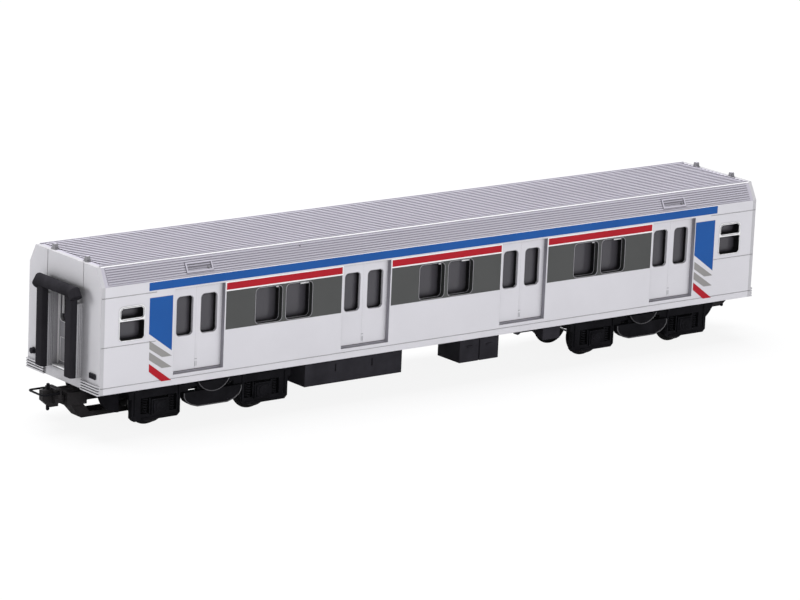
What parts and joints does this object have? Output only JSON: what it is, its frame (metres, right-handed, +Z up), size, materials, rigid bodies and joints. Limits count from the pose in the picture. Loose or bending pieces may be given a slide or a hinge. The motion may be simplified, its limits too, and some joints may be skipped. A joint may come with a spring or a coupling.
{
  "type": "scale model metro car",
  "caption": "HO scale model of a metro rail car: hollow ribbed body with doors and glazing, swivelling bogies, free-turning wheelsets and hook-and-bail couplers.",
  "frame": {"origin": "centre of the car at the bottom of the wheel flanges", "axes": "+X along the car towards end b, +Y to its right side, +Z up"},
  "size_m": [0.2532, 0.0362, 0.0499],
  "materials": {
    "body_silver": "satin",
    "end_grey": "satin",
    "roof_grey": "satin",
    "frame_silver": "satin",
    "glazing": "gloss",
    "gangway_black": "matte",
    "underframe_black": "matte",
    "ballast_steel": "satin",
    "bogie_black": "matte",
    "coupler_black": "matte",
    "pin_steel": "satin",
    "wheel_metal": "satin",
    "axle_steel": "satin"
  },
  "bodies": {
    "car": {"body_side_left": "body_silver", "body_side_right": "body_silver", "doors_left": "body_silver", "doors_right": "body_silver", "body_end_a": "end_grey", "body_end_b": "end_grey", "end_door_a": "end_grey", "end_door_b": "end_grey", "end_steps_a": "end_grey", "end_steps_b": "end_grey", "roof": "roof_grey", "window_frames_left": "frame_silver", "window_frames_right": "frame_silver", "glazing_left": "glazing", "glazing_right": "glazing", "end_door_glass": "glazing", "gangway_tubes_a": "gangway_black", "gangway_tubes_b": "gangway_black", "gangway_roll_a": "gangway_black", "gangway_roll_b": "gangway_black", "floor": "underframe_black", "battery_boxes": "underframe_black", "compressor_boxes": "underframe_black", "tank_boxes": "underframe_black", "pipe_clips": "underframe_black", "ballast": "ballast_steel", "pivot_pin_a": "pin_steel", "pivot_pin_b": "pin_steel"},
    "bogie_a": {"bogie_frame_a": "bogie_black", "bogie_bolster_a": "bogie_black", "bogie_springs_a": "bogie_black", "bogie_planks_a": "bogie_black", "bogie_guards_a": "bogie_black", "coupler_arm_a": "coupler_black", "coupler_pivot_pin_a": "pin_steel"},
    "bogie_b": {"bogie_frame_b": "bogie_black", "bogie_bolster_b": "bogie_black", "bogie_springs_b": "bogie_black", "bogie_planks_b": "bogie_black", "bogie_guards_b": "bogie_black", "coupler_arm_b": "coupler_black", "coupler_pivot_pin_b": "pin_steel"},
    "wheelset_1": {"wheels_1": "wheel_metal", "axle_1": "axle_steel"},
    "wheelset_2": {"wheels_2": "wheel_metal", "axle_2": "axle_steel"},
    "wheelset_3": {"wheels_3": "wheel_metal", "axle_3": "axle_steel"},
    "wheelset_4": {"wheels_4": "wheel_metal", "axle_4": "axle_steel"},
    "coupler_a": {"coupler_head_a": "coupler_black", "drop_pin_a": "pin_steel"},
    "coupler_b": {"coupler_head_b": "coupler_black", "drop_pin_b": "pin_steel"},
    "bail_a": {"coupler_bail_a": "pin_steel"},
    "bail_b": {"coupler_bail_b": "pin_steel"}
  },
  "joints": [
    {"name": "bogie_a_swivel", "type": "hinge", "parent": "car", "child": "bogie_a", "pos_m": [-0.07775, 0, 0.01065], "axis": [0, 0, 1], "range_deg": [-12, 12]},
    {"name": "bogie_b_swivel", "type": "hinge", "parent": "car", "child": "bogie_b", "pos_m": [0.07775, 0, 0.01065], "axis": [0, 0, 1], "range_deg": [-12, 12]},
    {"name": "wheelset_1_spin", "type": "hinge", "parent": "bogie_a", "child": "wheelset_1", "pos_m": [-0.095, 0, 0.00625], "axis": [0, 1, 0], "continuous": true},
    {"name": "wheelset_2_spin", "type": "hinge", "parent": "bogie_a", "child": "wheelset_2", "pos_m": [-0.0605, 0, 0.00625], "axis": [0, 1, 0], "continuous": true},
    {"name": "wheelset_3_spin", "type": "hinge", "parent": "bogie_b", "child": "wheelset_3", "pos_m": [0.0605, 0, 0.00625], "axis": [0, 1, 0], "continuous": true},
    {"name": "wheelset_4_spin", "type": "hinge", "parent": "bogie_b", "child": "wheelset_4", "pos_m": [0.095, 0, 0.00625], "axis": [0, 1, 0], "continuous": true},
    {"name": "coupler_a_swing", "type": "hinge", "parent": "bogie_a", "child": "coupler_a", "pos_m": [-0.11495, 0, 0.0086], "axis": [0, 0, 1], "range_deg": [-12, 12]},
    {"name": "coupler_b_swing", "type": "hinge", "parent": "bogie_b", "child": "coupler_b", "pos_m": [0.11495, 0, 0.0086], "axis": [0, 0, 1], "range_deg": [-12, 12]},
    {"name": "bail_a_lift", "type": "hinge", "parent": "coupler_a", "child": "bail_a", "pos_m": [-0.1205, 0, 0.0111], "axis": [0, 1, 0], "range_deg": [0, 35]},
    {"name": "bail_b_lift", "type": "hinge", "parent": "coupler_b", "child": "bail_b", "pos_m": [0.1205, 0, 0.0111], "axis": [0, -1, 0], "range_deg": [0, 35]}
  ]
}
